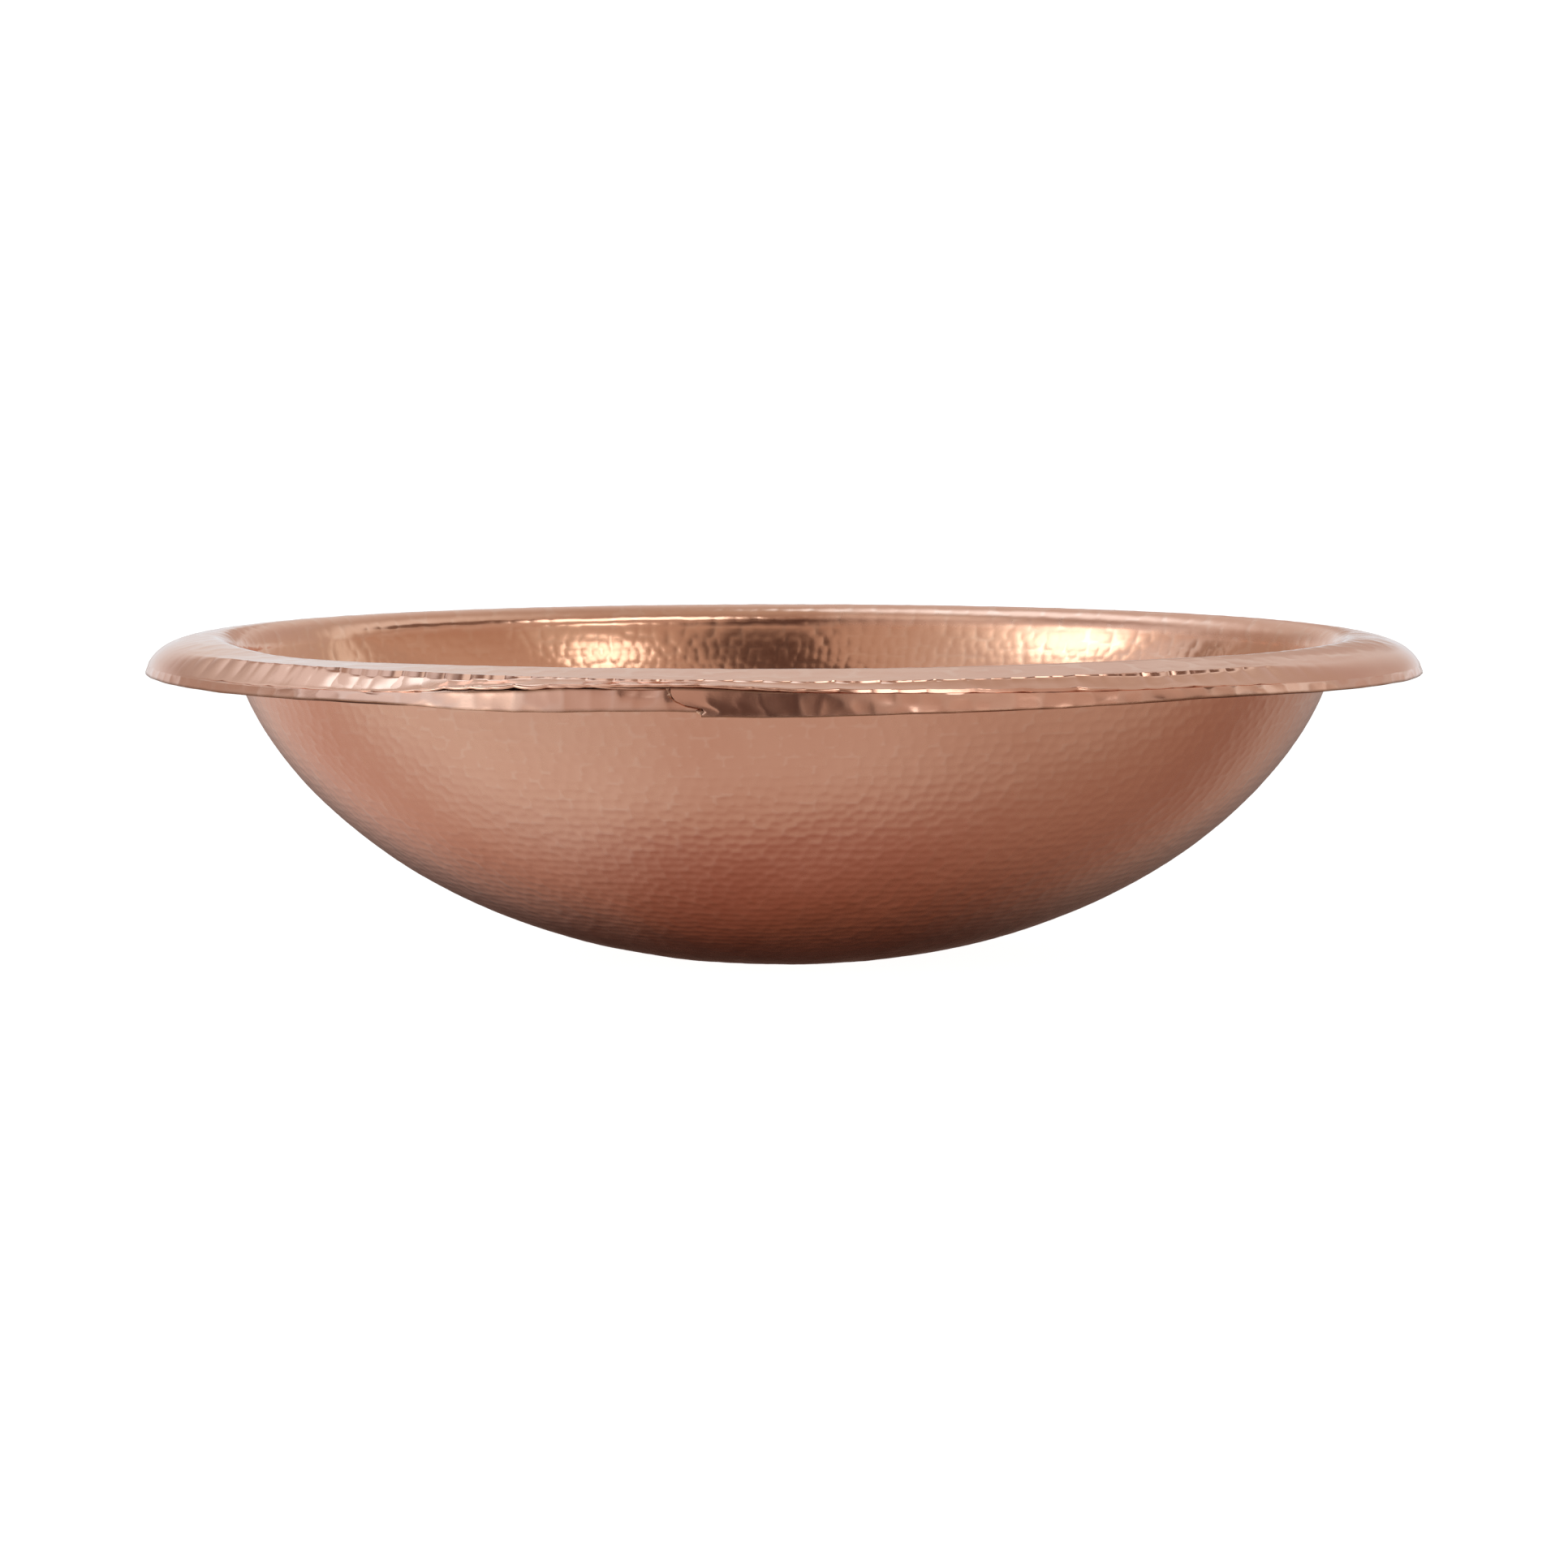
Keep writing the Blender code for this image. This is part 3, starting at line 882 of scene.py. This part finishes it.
class Nodes:
    """Short calls for adding and joining the nodes of one tree."""

    def __init__(self, tree):
        self.tree = tree

    def add(self, kind, **settings):
        node = self.tree.nodes.new(kind)
        for name, value in settings.items():
            setattr(node, name, value)
        return node

    def attribute(self, name):
        return self.add("ShaderNodeAttribute", attribute_name=name).outputs["Fac"]

    def join(self, source, target):
        self.tree.links.new(source, target)

    def value(self, operation, *inputs):
        node = self.add("ShaderNodeMath", operation=operation)
        for socket, item in zip(node.inputs, inputs):
            if isinstance(item, (int, float)):
                socket.default_value = item
            else:
                self.join(item, socket)
        return node.outputs[0]

    def step(self, source, low, high, at_low=0.0, at_high=1.0):
        """Smooth step from one value to another as the source goes from low to high."""
        if low > high:
            low, high, at_low, at_high = high, low, at_high, at_low
        node = self.add("ShaderNodeMapRange", interpolation_type="SMOOTHSTEP")
        self.join(source, node.inputs["Value"])
        for name, number in (("From Min", low), ("From Max", high),
                             ("To Min", at_low), ("To Max", at_high)):
            node.inputs[name].default_value = number
        return node.outputs["Result"]

    def ramp(self, source, stops):
        node = self.add("ShaderNodeValToRGB")
        elements = node.color_ramp.elements
        while len(elements) < len(stops):
            elements.new(0.5)
        for element, (position, colour) in zip(elements, stops):
            element.position = position
            element.color = (*colour, 1.0)
        self.join(source, node.inputs["Fac"])
        return node.outputs["Color"]

    def mix(self, amount, first, second, blend="MIX"):
        node = self.add("ShaderNodeMix", data_type="RGBA", blend_type=blend)
        for socket, item in ((node.inputs["Factor"], amount), (node.inputs[6], first),
                             (node.inputs[7], second)):
            if isinstance(item, (int, float)):
                socket.default_value = item
            elif isinstance(item, tuple):
                socket.default_value = (*item, 1.0)
            else:
                self.join(item, socket)
        return node.outputs[2]

    def noise(self, vector, scale, detail, roughness):
        node = self.add("ShaderNodeTexNoise")
        self.join(vector, node.inputs["Vector"])
        node.inputs["Scale"].default_value = scale
        node.inputs["Detail"].default_value = detail
        node.inputs["Roughness"].default_value = roughness
        return node.outputs["Fac"]


def new_material(name):
    material = bpy.data.materials.new(name)
    material.use_nodes = True
    return material, Nodes(material.node_tree), material.node_tree.nodes["Principled BSDF"]


def copper_material(name, deep, plain, worn, polish, satin_extra):
    """Hammered copper: colour, gloss and fine relief vary with place and with the marks."""
    material, nodes, shader = new_material(name)
    shader.inputs["Metallic"].default_value = 1.0
    place = nodes.add("ShaderNodeTexCoord").outputs["Object"]
    ridge = nodes.attribute("ridge")
    satin = nodes.attribute("satin")
    cloud = nodes.noise(place, 11.0, 4.0, 0.55)
    fleck = nodes.noise(place, 170.0, 3.0, 0.6)
    grain = nodes.noise(place, 1400.0, 2.0, 0.6)
    # Heat left the sheet redder in drifts, and the marks' ridges are rubbed paler.
    drift = nodes.step(cloud, 0.34, 0.66)
    base = nodes.mix(drift, deep, plain)
    speck = nodes.value("MULTIPLY", nodes.step(fleck, 0.60, 0.74), 0.25)
    base = nodes.mix(speck, base, deep)
    rubbed = nodes.value("MULTIPLY", nodes.step(ridge, 0.55, 1.0), 0.45)
    base = nodes.mix(rubbed, base, worn)
    # Inside the basin the metal kept a more orange bloom.
    basin = nodes.attribute("basin")
    bloom = nodes.value("MULTIPLY", basin, nodes.step(drift, 0.0, 1.0, 0.75, 1.0))
    base = nodes.mix(bloom, base, nodes.mix(1.0, base, BASIN_BLOOM, "MULTIPLY"))
    # Painted shade: on the strip's crack under the lip and along its low edge the colour is darkened
    # toward dark brown, patchy with the flecks.
    painted_shade = nodes.attribute("painted_shade")
    painted_shade = nodes.value("MULTIPLY", painted_shade, nodes.step(fleck, 0.30, 0.60, 0.75, 0.95))
    base = nodes.mix(painted_shade, base, PAINTED_SHADE_BROWN)
    nodes.join(base, shader.inputs["Base Color"])
    # Gloss: the outside was left satin, the ridges are smoother than the dishes.
    rough = nodes.value("MULTIPLY_ADD", satin, satin_extra, polish)
    for source, amount in ((fleck, 0.10), (cloud, 0.08)):
        rough = nodes.value("MULTIPLY_ADD", nodes.value("SUBTRACT", source, 0.5), amount, rough)
    rough = nodes.value("MULTIPLY_ADD", rubbed, -0.06, rough)
    # Rougher where the shade is painted.
    rough = nodes.value("MULTIPLY_ADD", painted_shade, 0.20, rough)
    nodes.join(rough, shader.inputs["Roughness"])
    # Fine relief: polishing grain and slight waviness inside each mark.
    relief = nodes.value("MULTIPLY_ADD", grain, 0.25, fleck)
    bump = nodes.add("ShaderNodeBump")
    bump.inputs["Strength"].default_value = 0.35
    bump.inputs["Distance"].default_value = 0.05 * MM
    nodes.join(relief, bump.inputs["Height"])
    nodes.join(bump.outputs["Normal"], shader.inputs["Normal"])
    return material


# ---- studio

def direction(azimuth, elevation):
    """Unit vector; azimuth 0 points to the front, -Y, and 90 to the right, +X."""
    a, e = math.radians(azimuth), math.radians(elevation)
    return (math.sin(a) * math.cos(e), -math.cos(a) * math.cos(e), math.sin(e))


# Surroundings round the side-to-side axis: angle in degrees from the front horizon, up
# over the top to the back horizon and down under the basin, and colour. One list is for
# straight ahead and behind; the others are for well out to the left and to the right.
AROUND_MIDDLE = (
    (-180, (0.70, 0.70, 0.70)), (-170, (0.18, 0.15, 0.14)),
    (-158, (0.045, 0.028, 0.022)), (-143, (0.028, 0.012, 0.010)),
    (-127, (0.050, 0.019, 0.013)), (-113, (0.145, 0.057, 0.034)),
    (-100, (0.225, 0.094, 0.062)), (-90, (0.262, 0.113, 0.080)),
    (-77, (0.34, 0.175, 0.14)), (-70, (0.43, 0.29, 0.24)),
    (-65, (0.51, 0.40, 0.34)), (-54, (0.55, 0.445, 0.39)),
    (-20, (0.52, 0.42, 0.36)), (37, (0.49, 0.37, 0.31)),
    (50, (0.34, 0.235, 0.185)), (64, (0.38, 0.29, 0.24)),
    (80, (0.48, 0.39, 0.32)), (112, (0.49, 0.42, 0.36)),
    (145, (0.66, 0.63, 0.60)), (163, (0.74, 0.73, 0.71)),
    (180, (0.84, 0.93, 1.00)),
)
AROUND_LEFT = (
    (-180, (0.70, 0.70, 0.70)), (-147, (0.63, 0.55, 0.53)),
    (-131, (0.59, 0.47, 0.43)), (-110, (0.50, 0.34, 0.28)),
    (-90, (0.60, 0.52, 0.48)), (-69, (0.68, 0.63, 0.58)),
    (-50, (0.60, 0.53, 0.48)), (15, (0.62, 0.57, 0.54)),
    (43, (0.68, 0.66, 0.68)), (55, (0.72, 0.79, 0.87)),
    (66, (0.42, 0.34, 0.31)), (74, (0.28, 0.20, 0.165)),
    (84, (0.34, 0.26, 0.22)), (98, (0.80, 0.84, 0.88)),
    (120, (0.80, 0.84, 0.88)), (133, (0.60, 0.58, 0.56)),
    (150, (0.44, 0.38, 0.35)), (166, (0.70, 0.70, 0.72)),
    (180, (0.84, 0.93, 1.00)),
)
AROUND_RIGHT = (
    (-180, (0.70, 0.70, 0.70)), (-158, (0.42, 0.38, 0.36)),
    (-141, (0.42, 0.33, 0.29)), (-127, (0.33, 0.22, 0.18)),
    (-112, (0.26, 0.14, 0.105)), (-95, (0.31, 0.185, 0.14)),
    (-80, (0.34, 0.21, 0.16)), (-70, (0.345, 0.235, 0.185)),
    (-56, (0.43, 0.32, 0.265)), (-40, (0.46, 0.35, 0.29)),
    (0, (0.47, 0.33, 0.27)), (20, (0.46, 0.33, 0.265)),
    (44, (0.54, 0.43, 0.37)), (60, (0.46, 0.36, 0.31)),
    (76, (0.56, 0.48, 0.42)), (92, (0.78, 0.78, 0.76)),
    (106, (0.78, 0.78, 0.76)), (120, (0.52, 0.46, 0.41)),
    (137, (0.53, 0.47, 0.45)), (165, (0.58, 0.53, 0.50)),
    (180, (0.84, 0.93, 1.00)),
)
# Soft boxes, dark and bright, each laid over those before it: azimuth, elevation, half width
# and soft edge in degrees, and colour.
DARK_BOX = (0.17, 0.11, 0.085)
WARM_BOX = (2.4, 2.4, 2.35)
SOFT_BOXES = (
    (-57, 47, 7, 5, DARK_BOX),
    (-73, 44, 6, 5, DARK_BOX),
    (64, 48, 6, 4, DARK_BOX),
    (80, 42, 6, 4, DARK_BOX),
    (174, 14, 4.5, 6, (0.54, 0.43, 0.37)),
    (-112, 18, 14, 10, (0.44, 0.36, 0.32)),
    (-68, 32, 11, 8, (0.76, 0.80, 0.86)),
    (-33, 55, 9, 4, (0.90, 0.90, 0.88)),
    (-48, 12, 14, 7, (0.92, 0.92, 0.90)),
    (-50, 4, 6, 5, (2.0, 2.05, 2.05)),
    (-50, 14.5, 7, 6, (2.5, 2.6, 2.6)),
    (33, 12, 7, 6, (0.58, 0.50, 0.44)),
    (29, 23, 3, 4, (2.3, 2.3, 2.2)),
    (18, 51, 4.5, 3, WARM_BOX),
    (30, 50, 4.5, 3, WARM_BOX),
    (42, 48, 4.5, 3, WARM_BOX),
    (-128, 69, 11, 8, (1.40, 1.75, 2.00)),
)
# Share of a turn, per unit of x, by which the middle surroundings lean.
TILT = 20.0 / 360.0
SCREEN_COLOUR = (0.060, 0.030, 0.024)
SCREEN_STRENGTH = 0.93


def around_colour(nodes, share, stops):
    """The colour of one list at this share of the turn, from the back horizon and down."""
    return nodes.ramp(share, [((angle + 180.0) / 360.0, colour) for angle, colour in stops])


def build_world():
    """What the copper reflects; x, y and z are the parts of a unit vector looking outward."""
    world = bpy.data.worlds.new("studio")
    bpy.context.scene.world = world
    world.use_nodes = True
    nodes = Nodes(world.node_tree)
    background = world.node_tree.nodes["Background"]
    way = nodes.add("ShaderNodeTexCoord").outputs["Generated"]
    parts = nodes.add("ShaderNodeSeparateXYZ")
    nodes.join(way, parts.inputs[0])
    x, y, z = parts.outputs
    turn = nodes.value("ARCTAN2", z, nodes.value("MULTIPLY", y, -1.0))
    share = nodes.value("MULTIPLY_ADD", turn, 1.0 / TAU, 0.5)
    # Below, what lies ahead reaches lower to the left than to the right.
    tilt = nodes.value("MULTIPLY", nodes.step(z, -0.1, -0.5), nodes.value("MULTIPLY", x, TILT))
    colour = around_colour(nodes, nodes.value("SUBTRACT", share, tilt), AROUND_MIDDLE)
    colour = nodes.mix(nodes.step(x, -0.12, -0.62), colour,
                       around_colour(nodes, share, AROUND_LEFT))
    colour = nodes.mix(nodes.step(x, 0.12, 0.62), colour,
                       around_colour(nodes, share, AROUND_RIGHT))
    # A dark screen stands in front, its upper part shifted right.
    lean = nodes.value("MULTIPLY", nodes.step(z, 0.08, 0.25), nodes.step(z, 0.55, 0.42, 0.0, 0.09))
    off = nodes.value("SUBTRACT", x, lean)
    dark = nodes.value("MULTIPLY", nodes.step(off, -0.205, -0.165), nodes.step(off, 0.21, 0.02))
    dark = nodes.value("MULTIPLY", dark, nodes.step(z, 0.02, 0.36))
    dark = nodes.value("MULTIPLY", dark, nodes.step(z, 0.80, 0.64))
    dark = nodes.value("MULTIPLY", dark, nodes.step(y, -0.35, -0.5))
    colour = nodes.mix(nodes.value("MULTIPLY", dark, SCREEN_STRENGTH), colour, SCREEN_COLOUR)
    for azimuth, elevation, half, edge, shine in SOFT_BOXES:
        near = nodes.add("ShaderNodeVectorMath", operation="DOT_PRODUCT")
        nodes.join(way, near.inputs[0])
        near.inputs[1].default_value = direction(azimuth, elevation)
        inside = nodes.step(near.outputs["Value"], math.cos(math.radians(half + edge)),
                            math.cos(math.radians(half)))
        colour = nodes.mix(inside, colour, shine)
    nodes.join(colour, background.inputs["Color"])
    background.inputs["Strength"].default_value = 1.0


def build_stage():
    """A pale round floor and the pale dome over it, which only the camera sees."""
    mesh = bpy.data.meshes.new("studio_floor")
    radius = 9.0
    columns = 96
    rings = 17
    points = [(0.0, 0.0, 0.0)]
    for lift in np.linspace(0.0, 80.0, rings):
        size = radius * math.cos(math.radians(lift))
        up = radius * math.sin(math.radians(lift))
        for turn in np.linspace(0.0, TAU, columns, endpoint=False):
            points.append((size * math.cos(turn), size * math.sin(turn), up))
    faces = [[0, 1 + i, 1 + (i + 1) % columns] for i in range(columns)]
    for ring in range(rings - 1):
        faces += ring_faces(columns, columns, 1 + ring * columns, 1 + (ring + 1) * columns)
    mesh.from_pydata(points, [], faces)
    material, _, shader = new_material("studio_white")
    shader.inputs["Base Color"].default_value = (0.30, 0.30, 0.30, 1.0)
    shader.inputs["Roughness"].default_value = 0.9
    shader.inputs["Specular IOR Level"].default_value = 0.0
    shader.inputs["Emission Color"].default_value = (1.0, 1.0, 1.0, 1.0)
    shader.inputs["Emission Strength"].default_value = 0.95
    mesh.materials.append(material)
    floor = placed("studio_floor", mesh)
    floor.visible_glossy = False
    floor.visible_diffuse = False
    floor.visible_shadow = False


def build_camera():
    """Camera almost level with the rim, a little above it, square to the long side."""
    distance = 1.9
    elevation = math.radians(4.89)
    aim_drop = 0.0435
    lens = 115.06
    middle = Vector((0.0, 0.0, SKIRT_BASE))
    place = middle + distance * Vector((0.0, -math.cos(elevation), math.sin(elevation)))
    across = Vector((0.0, -math.sin(elevation), -math.cos(elevation)))
    target = middle + aim_drop * across
    data = bpy.data.cameras.new("camera")
    data.lens = lens
    data.sensor_width = 36.0
    camera = placed("camera", data)
    camera.location = place
    camera.rotation_euler = (target - place).to_track_quat("-Z", "Y").to_euler()
    bpy.context.scene.camera = camera


# ---- the object

COPPER_DEEP = (0.86, 0.50, 0.375)
COPPER_PLAIN = (0.91, 0.57, 0.44)
COPPER_WORN = (0.95, 0.66, 0.54)
BASIN_BLOOM = (0.98, 0.92, 0.82)
# Dark brown of the painted shade in the strip's crack under the lip and along its low edge.
PAINTED_SHADE_BROWN = (0.30, 0.15, 0.09)
BRAZE_DEEP = (0.40, 0.22, 0.15)
BRAZE_PLAIN = (0.58, 0.37, 0.25)

shell_copper = copper_material("shell_copper", COPPER_DEEP, COPPER_PLAIN, COPPER_WORN, 0.15, 0.11)
skirt_copper = copper_material("skirt_copper", COPPER_DEEP, COPPER_PLAIN, COPPER_WORN, 0.16, 0.10)
braze_metal = copper_material("braze_metal", BRAZE_DEEP, BRAZE_PLAIN, COPPER_WORN, 0.34, 0.08)

PIECES = (
    (build_shell(shell_copper), "bowl_shell", "shell_copper"),
    (build_skirt(skirt_copper), "rim_skirt", "skirt_copper"),
    (build_fillet(braze_metal), "rim_braze", "braze"),
    (build_bead(braze_metal), "lap_braze", "braze"),
)
for piece, node, slot in PIECES:
    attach(piece, "root")
    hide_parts(node)

build_world()
build_stage()
build_camera()
bpy.context.scene.view_settings.view_transform = "Standard"

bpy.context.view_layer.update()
